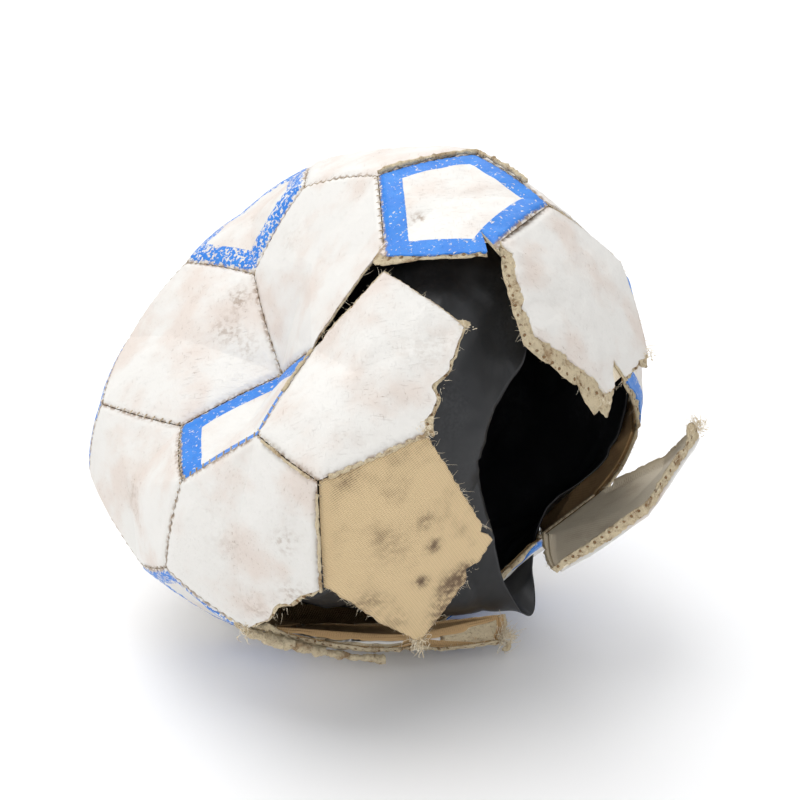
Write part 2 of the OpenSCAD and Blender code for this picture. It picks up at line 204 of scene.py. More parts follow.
def measured_panel(name):
    """Corners in order round the outward direction, the first one highest, and the height of the middle."""
    points, triangles = plate_mesh(name)
    sides = 5 if name.startswith(("blue", "cloth")) else 6
    thick = CLOTH_T if name == "cloth_front" else SKIN_T
    centre = points.mean(0)
    plane = np.linalg.svd(points - centre)[2][2]
    plane = plane * np.sign(plane @ (centre - MIDDLE))
    out = np.broadcast_to(plane, points.shape) if name in LOOSE else unit(points - MIDDLE)
    raised = points + thick * out
    gaps = np.linalg.norm(raised[:, None] - points[None], axis=-1).min(1)
    outer = gaps > OUTER_SHARE * thick
    chain = np.array(rim_chain(points, triangles[outer[triangles].all(1)]))
    rim = points[chain]
    turn = unit(np.roll(rim, -1, 0) - rim) - unit(rim - np.roll(rim, 1, 0))
    corners = rim[np.sort(np.argsort(np.linalg.norm(turn, axis=1))[-sides:])]
    middle = corners.mean(0)
    facing = unit(np.cross(corners - middle, np.roll(corners, -1, 0) - middle).sum(0))
    corners = np.roll(corners, -int(np.argmax(corners[:, 2])), 0)
    shell = points[outer]
    apex = shell[np.argmin(np.linalg.norm(np.cross(shell - middle, facing), axis=1))]
    return {
        "corners": corners + HALF_GAP * unit(corners - middle),
        "middle": middle,
        "facing": facing,
        "puff": float((apex - middle) @ facing) + FULLER.get(name, 0.0),
        "body": frame["nodes"][name]["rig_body"],
    }


PANELS = {n: measured_panel(n) for n in sorted(frame["nodes"]) if n.startswith(("blue", "white", "cloth"))}


# %% Sewn and torn sides
SEAM_REACH = 5 * MM


def side_partners():
    """For each side (panel, number), the side of another panel with its ends near its own, if any."""
    ends = [
        (name, k, p["corners"][k], p["corners"][(k + 1) % len(p["corners"])])
        for name, p in PANELS.items() for k in range(len(p["corners"]))
    ]

    def partner(name, a, b):
        for there, j, c, d in ends:
            if there != name and max(np.linalg.norm(a - d), np.linalg.norm(b - c)) < SEAM_REACH:
                return there, j
        return None

    return {(name, k): partner(name, a, b) for name, k, a, b in ends}


PARTNERS = side_partners()
for (panel_name, k), partner in PARTNERS.items():
    if partner is None:
        print("torn:", panel_name, "side", k)


# %% [markdown]
# ## Finishes
# Every finish is made of nodes, so it needs no picture files. A small class lets the maths of a finish be
# written as plain Python: adding or multiplying two sockets adds the Math node that does it.
# %% A small language for finishes
class Value:
    """A shader socket. Arithmetic on it adds Math nodes to its finish."""

    def __init__(self, finish, socket):
        self.finish, self.socket = finish, socket

    def math(self, operation, *values):
        """One Math node with those values in its sockets."""
        return self.finish.node("Math", {"operation": operation}, dict(enumerate(values)))

    def __add__(self, other):
        return self.math("ADD", self, other)

    def __radd__(self, other):
        return self.math("ADD", other, self)

    def __sub__(self, other):
        return self.math("SUBTRACT", self, other)

    def __mul__(self, other):
        return self.math("MULTIPLY", self, other)

    def __rmul__(self, other):
        return self.math("MULTIPLY", other, self)

    def fraction(self):
        return self.math("FRACT", self)

    def wave(self):
        return self.math("SINE", self)

    def step(self, low, high):
        """0 below low, 1 above high, smooth between. low may be the larger one."""
        settings = {"interpolation_type": "SMOOTHSTEP", "clamp": True}
        return self.finish.node("MapRange", settings, {0: self, 1: low, 2: high, 3: 0.0, 4: 1.0})


class Finish:
    """One material and the nodes that make it."""

    def __init__(self, name):
        self.material = bpy.data.materials.new(name)
        self.material.use_nodes = True
        self.tree = self.material.node_tree
        self.shader = self.tree.nodes["Principled BSDF"]
        self.place = self.node("TexCoord", {}, {}, "Object")

    def node(self, kind, settings, values, output=0):
        """Adds a node: its settings first, and then the values or links of its sockets."""
        made = self.tree.nodes.new("ShaderNode" + kind)
        for key, setting in settings.items():
            setattr(made, key, setting)
        for key, value in values.items():
            if isinstance(value, Value):
                self.tree.links.new(value.socket, made.inputs[key])
            else:
                made.inputs[key].default_value = value
        return Value(self, made.outputs[output])

    def noise(self, size, detail=4.0, stretch=(1, 1, 1), twist=0.0, shift=0.0):
        """Noise from 0 to 1 with lumps of that size in millimetres."""
        place = self.node("Mapping", {}, {0: self.place, 1: (shift, shift, shift), 3: stretch})
        return self.node("TexNoise", {}, {"Vector": place, "Scale": 1 / (size * MM), "Detail": detail,
                                          "Distortion": twist})

    def attribute(self, name):
        """One of the numbers that a piece carries at each of its points."""
        return self.node("Attribute", {"attribute_name": name}, {}, "Fac")

    def blend(self, share, first, second):
        """The first colour where the share is 0, the second where it is 1."""
        first, second = ((*c, 1.0) if isinstance(c, tuple) else c for c in (first, second))
        return self.node("Mix", {"data_type": "RGBA"}, {0: share, 6: first, 7: second}, 2)

    def wear(self, colour, roughness, height=None, strength=0.5, reach=0.5):
        """Links colour and roughness, and a bump from the height if there is one, and returns the material.

        The bump's reach is in millimetres. Nothing else on the shader gets a varying input."""
        for name, value in (("Base Color", colour), ("Roughness", roughness)):
            self.tree.links.new(value.socket, self.shader.inputs[name])
        if height is not None:
            bump = self.node("Bump", {}, {"Strength": strength, "Distance": reach * MM, "Height": height})
            self.tree.links.new(bump.socket, self.shader.inputs["Normal"])
        return self.material


print("finishes are written as expressions on", Value.__name__, "and", Finish.__name__)


# %% [markdown]
# ## The white and blue leather
# The coat is thin white plastic. Years of use left a warm dirt in its grain, fine scratches, brown
# stains, and dark dirt along the seams. Painted shade darkens the creases a little. The pentagons have
# a blue band printed along their sides, and the paint has rubbed off in flakes, more on the outer half.
# The distance from the seam comes from an attribute of each panel.
# %% Leather finishes
COAT_WHITE = (0.77, 0.75, 0.71)
COAT_WARM = (0.70, 0.60, 0.53)
DIRT_BROWN = (0.27, 0.17, 0.10)
BAND_BLUE = (0.010, 0.185, 0.66)
PALE_BLUE = (0.022, 0.26, 0.76)
FELT_CREAM = (0.80, 0.67, 0.45)
FELT_BROWN = (0.34, 0.20, 0.09)


def leather(name, band, worn=0.5):
    """White coat with dirt, scratches and painted crease shade; a blue band from 0.4 to 9.3 mm from the seam,
    worn by noise.
    """
    f = Finish(name)
    seam, stain, crease_shade = f.attribute("seam"), f.attribute("stain"), f.attribute("crease")
    grain = f.noise(0.9, 3.0)
    cloudy = f.noise(22, 5.0, shift=3.0)
    specks = f.noise(2.2, 6.0, shift=7.0)
    scratches = f.noise(5.0, 3.0, (1, 14, 3)).step(0.63, 0.70)
    scratches = scratches + f.noise(6.0, 3.0, (12, 1, 5), 0.4).step(0.64, 0.71)
    coat = f.blend(cloudy.step(0.42, 0.68) * 0.75, COAT_WHITE, COAT_WARM)
    height = grain * 0.5 + f.noise(4.0, 4.0) * 1.2 - scratches * 0.5
    if band:
        flakes = f.noise(1.5, 8.0, twist=0.6)
        thin = worn + seam.step(2.0, 0.4) * 0.34 + (seam - 5.0).step(-1.0, 4.5) * 0.1
        edge = seam + (f.noise(1.0, 2.0) - 0.5) * 0.35
        paint = edge.step(0.25, 0.55) * edge.step(9.4, 9.2) * (flakes - thin * 0.45).step(0.10, 0.2)
        blue = f.blend(f.noise(7.0).step(0.3, 0.8) * 0.5, BAND_BLUE, PALE_BLUE)
        coat = f.blend(paint, coat, blue)
        height = height + paint * 0.5
    dirt_and_crease_shade = seam.step(2.2, 0.1) * (specks.step(0.36, 0.6) * 0.6 + 0.1)
    dirt_and_crease_shade = dirt_and_crease_shade + f.noise(1.3, 6.0, shift=9.0).step(0.66, 0.74) * cloudy.step(0.4, 0.62) * 0.35
    dirt_and_crease_shade = dirt_and_crease_shade + stain * (specks.step(0.40, 0.62) * 0.6 + 0.22)
    # Dirt in the scratches, and painted shade that darkens the coat a little along its creases.
    dirt_and_crease_shade = dirt_and_crease_shade + scratches * cloudy.step(0.4, 0.6) * 0.28 + crease_shade * 0.1
    colour = f.blend(dirt_and_crease_shade.step(0.0, 1.0), coat, DIRT_BROWN)
    return f.wear(colour, 0.42 + cloudy * 0.2 + dirt_and_crease_shade * 0.2, height, 0.55, 0.35)


def felt(name, pale, dark, size=0.8):
    """Torn felt: fine fibres, painted shade in the hollows, and stitch holes every 4 mm along the old seam.
    """
    f = Finish(name)
    fibre = f.noise(size, 6.0, (1, 2.2, 1), 1.2)
    cloudy = f.noise(7.0, 5.0, shift=2.0)
    pitch = (f.attribute("along") * 0.25).fraction() - 0.5
    away = f.attribute("seam") - 1.6
    hole = (pitch * pitch * 16.0 + away * away).step(0.5, 0.22)
    specks = f.noise(1.1, 6.0, shift=6.0)
    dark_share = cloudy.step(0.48, 0.74) * 0.7 + fibre.step(0.5, 0.3) * 0.25 + hole * 0.9
    # Dirt specks, and painted shade where the felt's lumps sink deepest.
    dark_share = dark_share + specks.step(0.56, 0.72) * 0.45 + f.attribute("crease").step(0.0, 0.8) * 0.55
    colour = f.blend(dark_share.step(0.0, 1.0), pale, dark)
    return f.wear(colour, 0.85 + fibre * 0.1, fibre * 1.2 + specks * 1.2 - hole, 1.0, 0.9)


WHITE_COAT = leather("white_coat", False)
BLUE_COAT = leather("blue_banded_coat", True, 0.42)
BLUE_WORN = leather("blue_worn_coat", True, 0.66)
FELT = felt("torn_felt", FELT_CREAM, FELT_BROWN)
print("leather finishes:", WHITE_COAT.name, BLUE_COAT.name, BLUE_WORN.name)


# %% [markdown]
# ## Cloth, rubber and thread
# The lining is a tan woven cotton, and its threads run diagonally to the seams. It follows the panel's
# own flat coordinates, so the weave bends with the cloth. The bladder is black rubber with a satin skin,
# fine creases and dust.
# %% Cloth, rubber and thread finishes
def woven(name, pale, dark, thread=0.75):
    """Two sets of threads at right angles on the cloth's own map, in mm, with grey-brown stains and painted
    shade by the edge.
    """
    f = Finish(name)
    flat_place = f.node("TexCoord", {}, {}, "UV")
    turns = 2 * np.pi / (thread * MM)
    across = f.node("SeparateXYZ", {}, {0: flat_place}, 0) * turns
    along = f.node("SeparateXYZ", {}, {0: flat_place}, 1) * (turns / 1.5)
    weave = across.wave() * 0.75 + along.wave() * 0.25
    cloudy = f.noise(13.0, 5.0)
    stain = f.attribute("stain")
    specks = f.noise(2.5, 5.0, shift=4.0)
    dark_share = cloudy.step(0.5, 0.75) * 0.35 + stain * (specks.step(0.3, 0.62) * 0.7 + 0.25)
    # Darker between the threads, and painted shade within about 2.6 mm of the cloth's edge.
    dark_share = dark_share + weave.step(0.2, -0.8) * 0.42 + f.attribute("seam").step(2.6, 0.2) * 0.35
    colour = f.blend(dark_share.step(0.0, 1.15), pale, dark)
    return f.wear(colour, 0.8 + cloudy * 0.12, weave * 0.5 + specks * 0.5, 0.6, 0.25)


def rubber(name):
    """Satin black rubber: soft long folds, fine pores, and a thin grey dust in patches."""
    f = Finish(name)
    folds = f.noise(17.0, 2.0, (1, 1, 0.45), 0.5)
    pores = f.noise(0.8, 3.0)
    dust = f.noise(26.0, 6.0, shift=5.0).step(0.45, 0.8) * f.noise(1.2, 4.0).step(0.3, 0.7)
    colour = f.blend(dust * 0.5, (0.011, 0.012, 0.014), (0.07, 0.072, 0.078))
    return f.wear(colour, 0.36 + dust * 0.3 + pores * 0.06, folds * 3.0 + pores * 0.05, 0.5, 0.8)


def dull(name, pale, dark, size, roughness):
    """A plain finish with fine noise in its colour and its surface."""
    f = Finish(name)
    fine = f.noise(size, 5.0)
    return f.wear(f.blend(fine.step(0.3, 0.7), pale, dark), roughness + fine * 0.15, fine, 0.4, 0.2)


CLOTH = woven("bare_cloth", (0.74, 0.56, 0.32), (0.15, 0.095, 0.055))
LINING = woven("lining_cloth", (0.93, 0.83, 0.65), (0.56, 0.42, 0.27))
# The shell's lining and the panels' inner sides use a darker brown copy of the lining: partly the cloth's own
# brown, partly painted shade inside the ball.
BROWN_SHADED_LINING = woven("old_lining_cloth", (0.56, 0.36, 0.17), (0.24, 0.13, 0.06))
RUBBER = rubber("bladder_rubber")
VALVE = dull("valve_rubber", (0.02, 0.02, 0.022), (0.05, 0.05, 0.052), 1.0, 0.5)
FIBRE = dull("pale_fibre", (0.90, 0.82, 0.66), (0.66, 0.54, 0.36), 2.0, 0.8)
THREAD = dull("dirty_thread", (0.58, 0.49, 0.35), (0.26, 0.18, 0.10), 1.4, 0.7)
print("soft finishes:", CLOTH.name, LINING.name, RUBBER.name, THREAD.name)


# %% [markdown]
# ## Meshes from grids
# Each piece is one or more grids of points. A grid's columns always close into rings. Its first and last
# rows either shrink to a pole or join each other, so that the piece is a closed shell with its faces
# outwards.
# %% Grid meshes
POLE_GAP = 2e-7
FLOOR_GAP = 0.05 * MM


def grid_part(points, row_finish, ring=False, **facts):
    """Quads between the rows and round the columns of points (rows, columns, xyz), with one finish a row."""
    rows, columns = points.shape[:2]
    index = np.arange(rows * columns).reshape(rows, columns)
    upper = np.roll(index, -1, 0) if ring else index[1:]
    lower = index if ring else index[:-1]
    quads = np.stack([lower, upper, np.roll(upper, -1, 1), np.roll(lower, -1, 1)], -1)
    finish = np.repeat(np.asarray(row_finish)[:len(quads)], columns)
    flat_facts = {key: np.broadcast_to(value, points.shape[:2]).ravel() for key, value in facts.items()}
    return points.reshape(-1, 3), quads.reshape(-1, 4), finish, flat_facts


def piece_from(name, parts, finishes, body, replaced=()):
    """Joins the parts into one object above the floor, merges its poles, and puts it in the frame."""
    starts = np.cumsum([0] + [len(p[0]) for p in parts])
    points = np.vstack([p[0] for p in parts])
    points[:, 2] = points[:, 2].clip(FLOOR_GAP)
    quads = np.vstack([p[1] + start for p, start in zip(parts, starts)])
    mesh = bpy.data.meshes.new(name)
    mesh.from_pydata(points.tolist(), [], quads.tolist())
    mesh.polygons.foreach_set("material_index", np.concatenate([p[2] for p in parts]).astype(np.int32))
    mesh.polygons.foreach_set("use_smooth", np.ones(len(quads), bool))
    facts = {key: np.concatenate([p[3][key] for p in parts]) for key in parts[0][3]}
    if "flat_u" in facts:
        loops = np.zeros(len(mesh.loops), np.int32)
        mesh.loops.foreach_get("vertex_index", loops)
        flat_map = np.stack([facts.pop("flat_u"), facts.pop("flat_v")], -1)[loops]
        mesh.uv_layers.new(name="flat").data.foreach_set("uv", flat_map.ravel().astype(np.float32))
    for key, values in facts.items():
        mesh.attributes.new(key, "FLOAT", "POINT").data.foreach_set("value", values.astype(np.float32))
    work = bmesh.new()
    work.from_mesh(mesh)
    bmesh.ops.remove_doubles(work, verts=work.verts, dist=POLE_GAP)
    bmesh.ops.delete(work, geom=[e for e in work.edges if not e.link_faces], context="EDGES")
    work.to_mesh(mesh)
    work.free()
    for finish in finishes:
        mesh.materials.append(finish)
    piece = bpy.data.objects.new(name, mesh)
    bpy.context.scene.collection.objects.link(piece)
    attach(piece, body)
    if replaced:
        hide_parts(*replaced)
    return piece


def tube_part(path, radius, sides, **facts):
    """Rings round a path (steps, xyz), across its direction, that shrink to a point at both ends."""
    along = unit(np.gradient(path, axis=0))
    side = unit(np.cross(along, [0.31, 0.87, 0.38]))
    other = np.cross(along, side)
    turn = 2 * np.pi * np.arange(sides) / sides
    radius = np.broadcast_to(radius, len(path)).copy()
    ring = np.cos(turn)[:, None] * side[:, None] - np.sin(turn)[:, None] * other[:, None]
    points = path[:, None] + radius[:, None, None] * ring
    ends = np.repeat(path[[0, -1], None], sides, 1)
    points = np.concatenate([ends[:1], points, ends[1:]])
    return grid_part(points, np.zeros(len(points)), **facts)


print("a grid of 4 x 6 points has", len(grid_part(np.zeros((4, 6, 3)), np.zeros(4))[1]), "faces")


# %% [markdown]
# ## Leather panels as fine surfaces
# A panel is a white coat on a cream felt core. Sewn sides turn down into the seam and pucker at each
# stitch. Torn sides show the felt beyond the coat. A polar grid suits this: its rings follow the panel's
# outline, so the seam, the coat's torn edge, the felt and the wall are rings of their own, and one
# formula gives every panel.
# %% Rims
SEAM_BOW = 1.6 * MM
COAT_DROP = 1.2 * MM
STITCHES = 11
# Width in millimetres of the bare felt along a torn side
FLANGES = {
    ("white_hanging", 1): 4.8, ("white_hanging", 2): 6.4, ("white_hanging", 3): 1.2,
    ("white_hanging", 4): 0.5, ("white_lying_out", 0): 4.6, ("white_lying_out", 1): 5.4,
    ("white_lying_out", 2): 4.6, ("white_lying_out", 4): 4.8, ("white_lying_out", 5): 4.8,
    ("blue_top", 2): 1.6, ("white_front", 0): 1.2, ("white_front", 5): 0.6, ("white_front", 4): 1.4,
    ("white_torn_strip", 1): 30, ("white_torn_strip", 2): 30, ("white_torn_strip", 3): 30,
    ("white_torn_strip", 4): 30, ("white_torn_strip", 5): 30, ("white_torn_strip", 0): 30,
    ("blue_low_right", 1): 9, ("blue_right", 1): 3, ("white_low_front", 3): 1.6,
}
PLAIN_FLANGE = 0.9
# How deep the noise bites into a torn side, where 1 is the plain depth
BITTEN = {
    ("white_hanging", 3): 2.6, ("white_hanging", 2): 1.4, ("white_hanging", 4): 0.6,
    ("white_torn_strip", 5): 2.2, ("white_torn_strip", 4): 2.4, ("white_lying_out", 0): 1.6,
    ("blue_top", 2): 1.0, ("white_front", 5): 0.4, ("white_front", 4): 1.6, ("white_hanging", 5): 0.4,
}
# Sides whose edge stands further out than the seam line did, in millimetres
GROWN = {("blue_top", 2): 7.5}
# Notches in the leather and tongues of felt: panel, side, place along it, half width and depth in millimetres
NOTCHES = [
    ("white_hanging", 3, 0.36, 4.5, 10), ("blue_top", 2, 0.93, 2.2, 15), ("cloth_front", 4, 0.1, 3, 2.5),
    ("cloth_front", 3, 0.72, 4, 3), ("white_front", 4, 0.42, 5, 2), ("white_low_front", 3, 0.5, 7, 2.5),
    ("white_lying_out", 4, 0.0, 9, 6), ("white_lying_out", 3, 1.0, 9, 3),
]
TONGUES = [
    ("white_hanging", 2, 0.93, 9, 6), ("white_hanging", 3, 0.06, 6, 7), ("white_hanging", 3, 0.9, 4, 4),
    ("blue_top", 2, 0.12, 11, 2.5), ("blue_top", 2, 0.97, 3, 4), ("white_front", 4, 0.02, 5, 3),
    ("white_front", 5, 0.03, 3, 3), ("white_lying_out", 0, 0.05, 5, 4), ("white_low_front", 2, 0.93, 8, 4),
    ("white_torn_strip", 5, 0.9, 8, 3), ("cloth_front", 2, 0.95, 4, 3),
]


def side_share(name, sides, t, marks):
    """The deepest of the marks' triangles, depth x (1 - distance / half width), at each sample of the rim."""
    total = np.zeros(len(sides))
    for panel_name, side, place, half_width, deep in marks:
        if panel_name == name:
            edge = PANELS[name]["corners"]
            span = np.linalg.norm(edge[(side + 1) % len(edge)] - edge[side]) / MM
            away = np.abs(t - place) * span / half_width
            total = np.maximum(total, np.where(sides == side, deep * (1 - away).clip(0) ** 0.8, 0))
    return total * MM


def ring_smooth(values, width):
    """A moving average round a closed ring of samples."""
    return sum(np.roll(values, k) for k in range(-width, width + 1)) / (2 * width + 1)


def panel_rim(name, per_side):
    """Points A + t (B - A) + 4 t (1 - t) bow outward, their side numbers, and 1 where a side is torn."""
    panel = PANELS[name]
    corners = panel["corners"]
    t = (np.arange(per_side) / per_side)[:, None]
    rim = []
    for k, a in enumerate(corners):
        b = corners[(k + 1) % len(corners)]
        outward = unit((a + b) / 2 - (panel["middle"] if name in LOOSE else MIDDLE))
        bow = 0 if name in LOOSE and PARTNERS[name, k] else SEAM_BOW
        rim.append(a + t * (b - a) + 4 * t * (1 - t) * bow * outward)
    sides = np.repeat(np.arange(len(corners)), per_side)
    torn = np.array([float(PARTNERS[name, k] is None) for k in range(len(corners))])[sides]
    return np.vstack(rim), sides, ring_smooth(torn, max(1, per_side // 16))


def side_distance(name, points):
    """The least distance from the printed sides: (P - A) . inward normal + how far the side has grown."""
    corners = PANELS[name]["corners"]
    line = unit(np.roll(corners, -1, 0) - corners)
    normal = corners.mean(0) - corners
    normal = unit(normal - (normal * line).sum(-1, keepdims=True) * line)
    grown = np.array([GROWN.get((name, k), 0.0) for k in range(len(corners))]) * MM
    return (((points[..., None, :] - corners) * normal).sum(-1) + grown).min(-1)


def spot_sum(points, spots):
    """The sum of strength exp(-(distance / radius)^2) over rows of place, radius (mm) and strength."""
    away = np.linalg.norm(points[..., None, :] / MM - spots[:, :3], axis=-1)
    return (spots[:, 4] * np.exp(-(away / spots[:, 3]) ** 2)).sum(-1)


def dirt_at(points):
    """Stains on the coat: soft spots of a chosen place (mm), radius and strength, broken up by noise."""
    spots = np.array([
        [20, -43, 188, 3.4, 1.1], [15, -49, 186, 3, 0.6], [-51, 4, 139, 6, 0.8], [-48, -18, 128, 6, 0.9],
        [-57, -7, 130, 7, 0.6], [-92, 28, 131, 2.5, 0.8], [-28, -111, 87, 5, 0.5], [-27, -112, 64, 7, 0.6],
        [-49, -97, 78, 10, 0.3], [-8, -107, 126, 2.2, 1.3], [-13, -64, 158, 9, 0.4], [72, -64, 166, 13, 0.15],
        [-91, -48, 73, 9, 0.4], [-42, -102, 52, 8, 0.5], [60, -50, 196, 8, 0.3], [16, -106, 136, 6, 0.2],
    ])
    return spot_sum(points, spots) + 0.35 * smooth_step(rough(points, 30 * MM, 5))


print("torn sides:", sum(p is None for p in PARTNERS.values()), "of", len(PARTNERS))


# %% Panel surfaces
BENDS = {"white_lying_out": (8 * MM, 5.2 * MM), "white_torn_strip": (6 * MM, 6 * MM)}


def panel_base(name, rim, torn, away):
    """P = middle + share (rim - middle) + puff (1 - share^2) facing, and the outward direction at P.

    Towards the middle an evened-out rim takes over, so that the corners' folds fade away.
    A bent flange turns inwards on an arc: its last stretch s ends r sin(s / r) out, r (1 - cos(s / r)) in."""
    panel = PANELS[name]
    middle = panel["corners"].mean(0)
    length = np.linalg.norm(rim - middle, axis=1)
    share = 1 - away / length
    even = np.stack([ring_smooth(rim[:, k], len(rim) // 14) for k in range(3)], -1)
    firm = smooth_step(share / 0.72)[..., None]
    puff = (panel["puff"] * (1 - share ** 2))[..., None] * panel["facing"]
    points = middle + share[..., None] * (even + firm * (rim - even) - middle) + puff
    out = np.broadcast_to(panel["facing"], points.shape) if name in LOOSE else unit(points - MIDDLE)
    if name in BENDS:
        stretch, radius = BENDS[name]
        arc = (stretch - away).clip(0) * torn
        turn = (arc / radius)[..., None]
        radial = unit(rim - middle)
        points = points + (radius * np.sin(turn) - arc[..., None]) * radial
        points = points - radius * (1 - np.cos(turn)) * panel["facing"]
        out = np.cos(turn) * out + np.sin(turn) * radial
    return points, out, length


def rows_to(length, cut, count, hole=0.0):
    """Distances from the rim: rows from the middle or a hole to 8 mm before the cut, then closer ones."""
    fine = np.array([7, 6, 5, 4.2, 3.4, 2.7, 2.1, 1.6, 1.2, 0.8, 0.5, 0.25, 0]) * MM
    start = length - hole
    steps = np.linspace(0, 1, count)[:, None]
    near = np.minimum(8 * MM, 0.5 * (start - cut))
    return np.vstack([start + steps * (cut + near - start), cut + np.outer(fine / (8 * MM), near)])


def leather_part(name, per_side, count):
    """The coat, the felt that stands out beyond it, the wall and the inner side, as one closed grid."""
    rim, sides, torn = panel_rim(name, per_side)
    length = panel_base(name, rim, torn, np.zeros(len(rim)))[2]
    spread = max(1, per_side // 12)
    flange = ring_smooth(np.array([FLANGES.get((name, int(k)), PLAIN_FLANGE) for k in sides]), spread) * MM
    wild = ring_smooth(np.array([BITTEN.get((name, int(k)), 1.0) for k in sides]), spread)
    grown = ring_smooth(np.array([GROWN.get((name, int(k)), 0.0) for k in sides]), spread) * MM
    t = np.tile(np.arange(per_side) / per_side, len(PANELS[name]["corners"]))
    rag = 1.3 * MM * rough(rim, 9 * MM, 3) + 0.6 * MM * rough(rim, 2.4 * MM, 8)
    bites = wild * MM * (1.6 * rough(rim, 8 * MM, 12).clip(0) + 0.9 * rough(rim, 3 * MM, 11).clip(0))
    edge = 0.15 * MM + torn * bites - grown + side_share(name, sides, t, NOTCHES)
    core = edge - side_share(name, sides, t, TONGUES) * (1 + 0.5 * rough(rim, 2 * MM, 14))
    edge, core = np.minimum(edge, 0.7 * length), np.minimum(core, 0.7 * length)
    coat = edge + 0.02 * MM + torn * np.maximum(flange + rag * np.minimum(1, flange / (2 * MM)), 0.1 * MM)
    coat = np.minimum(coat, 0.85 * length)
    hole = 5.3 * MM if name == "white_valve" else 0.0
    outer = rows_to(length, coat, count, hole)
    felt_rows = coat + np.linspace(0, 1, 10)[:, None] * (core - coat)
    inner = rows_to(length, core, 6, hole)[::-1]
    away = np.vstack([outer, felt_rows, inner])
    base, out, _ = panel_base(name, rim, torn, away)
    pucker = np.cos(2 * np.pi * STITCHES * t) * 0.3 * MM
    depth = (COAT_DROP + pucker) * smooth_step(1 - (away - coat) / (4 * MM)) ** 2 * (1 - torn)
    creased = smooth_step(rough(base, 40 * MM, 29) + 0.6)
    # The crease values mark dents in the coat; the leather finish paints them a little darker as shade.
    crease = (1 - 3.2 * np.abs(rough(base, 26 * MM, 27))).clip(0) ** 2 * creased
    bumps = 1.0 * MM * rough(base, 19 * MM, 21) + 0.3 * MM * noise(base, 5 * MM, 31) - 0.4 * MM * crease
    depth = depth + 0.35 * MM - bumps * smooth_step(away / (7 * MM))
    lumps = 0.7 * rough(base, 2.6 * MM, 41) + 0.5 * noise(base, 0.9 * MM, 44)
    felt_depth = (0.6 + 1.1 * lumps) * MM
    first, second = len(outer), len(outer) + len(felt_rows)
    depth[first:second] += (felt_depth * torn + 0.1 * MM)[first:second]
    # The felt rows' lumps go into the crease values, which the felt finish paints darker as shade in the
    # hollows.
    crease[first:] = lumps[first:]
    depth[second:] = SKIN_T
    depth[second] = SKIN_T - 0.3 * MM
    points = base - depth[..., None] * out
    finish = np.repeat([0, 1, 2], [first, len(felt_rows) + 2, len(inner) - 2])
    along = np.cumsum(np.linalg.norm(np.roll(rim, -1, 0) - rim, axis=1)) / MM
    seam = side_distance(name, base) if name.startswith("blue") else away + grown
    facts = {"seam": seam / MM, "stain": dirt_at(points), "along": along, "crease": crease}
    return grid_part(points, finish, hole > 0, **facts)


# These show well in the camera's view, so their grids are finer
FRONT_PANELS = {
    "white_front", "white_low_front", "white_left", "white_upper_left", "white_top_left", "white_hanging",
    "white_lying_out", "white_torn_strip", "blue_top", "blue_left", "blue_dented", "white_top_right",
}
WORN_BANDS = {"blue_left", "blue_far_left", "blue_low_left"}
for panel_name in PANELS:
    if panel_name == "cloth_front":
        continue
    near = panel_name in FRONT_PANELS
    blue = panel_name.startswith("blue")
    blue_finish = BLUE_WORN if panel_name in WORN_BANDS else BLUE_COAT
    finishes = [blue_finish if blue else WHITE_COAT, FELT, LINING if panel_name in LOOSE else BROWN_SHADED_LINING]
    grid = leather_part(panel_name, 56 if near else 26, 18 if near else 10)
    piece_from(panel_name + "_leather", [grid], finishes, PANELS[panel_name]["body"], [panel_name])
print(len(PANELS) - 1, "leather panels")


# %% [markdown]
# ## Lining and bare cloth
# Behind the leather is a woven cotton lining. It uses the panels' own formula, 2.3 mm deeper. Where one
# pentagon has lost its leather, the cloth itself shows: a thin sheet with a frayed free edge and a torn
# notch.
# %% Lining
LINING_DEPTH = 2.3 * MM
LINING_CUT = 3.0 * MM


def cloth_part(name, per_side, cut, depth, thick, count, hole=0.0, crumple=0.0):
    """Outer and inner side of the cloth, with its flat map in metres across and along the panel."""
    rim, _, torn = panel_rim(name, per_side)
    length = panel_base(name, rim, torn, np.zeros(len(rim)))[2]
    cut = np.broadcast_to(cut, length.shape)
    away = rows_to(length, cut, count, hole)
    away = np.vstack([away, away[::-1]])
    base, out, _ = panel_base(name, rim, torn, away)
    half = len(away) // 2
    layer = np.where(np.arange(len(away)) < half, 0, thick)[:, None]
    sink = depth + layer - crumple * rough(base, 11 * MM, 51)
    points = base - sink[..., None] * out
    facing = PANELS[name]["facing"]
    across = unit(np.cross(facing, rim[0] - PANELS[name]["middle"]))
    flat = (points - PANELS[name]["middle"]) @ np.stack([across, np.cross(facing, across)], -1)
    diagonal = (flat @ np.array([[1, 1], [-1, 1]])) / np.sqrt(2)
    facts = {"seam": away / MM, "stain": cloth_stains(points), "along": 0.0, "crease": 0.0}
    return grid_part(points, np.zeros(len(away)), hole > 0, **facts, flat_u=diagonal[..., 0],
                     flat_v=diagonal[..., 1])


def cloth_stains(points):
    """Dark soft spots on the cloth: places (mm), radius and strength."""
    spots = np.array([
        [25, -102, 81, 3, 1.2], [21, -102, 66, 2.8, 1.2], [32, -97, 59, 6, 1.0], [38, -95, 65, 5, 1.0],
        [2, -108, 59, 7, 0.6], [-7, -117, 114, 5, 0.6], [22, -104, 92, 4, 0.7], [29, -97, 44, 5, 0.9],
        [9, -108, 84, 8, 0.4], [30, -98, 50, 5, 0.8], [14, -105, 46, 6, 0.6],
    ])
    return spot_sum(points, spots)


shell_lining = [cloth_part(n, 14, LINING_CUT, LINING_DEPTH, CLOTH_T, 6) for n in PANELS
                if n not in LOOSE and n not in ("cloth_front", "white_valve")]
piece_from("lining_shell_cloth", shell_lining, [BROWN_SHADED_LINING], "root", ["lining_shell"])
for panel_name in LOOSE:
    grid = cloth_part(panel_name, 30, LINING_CUT, LINING_DEPTH, CLOTH_T, 10)
    packed_name = "lining_" + panel_name.removeprefix("white_")
    piece_from(panel_name + "_lining", [grid], [LINING], PANELS[panel_name]["body"],
               [packed_name])
print(len(shell_lining) + 2, "linings")

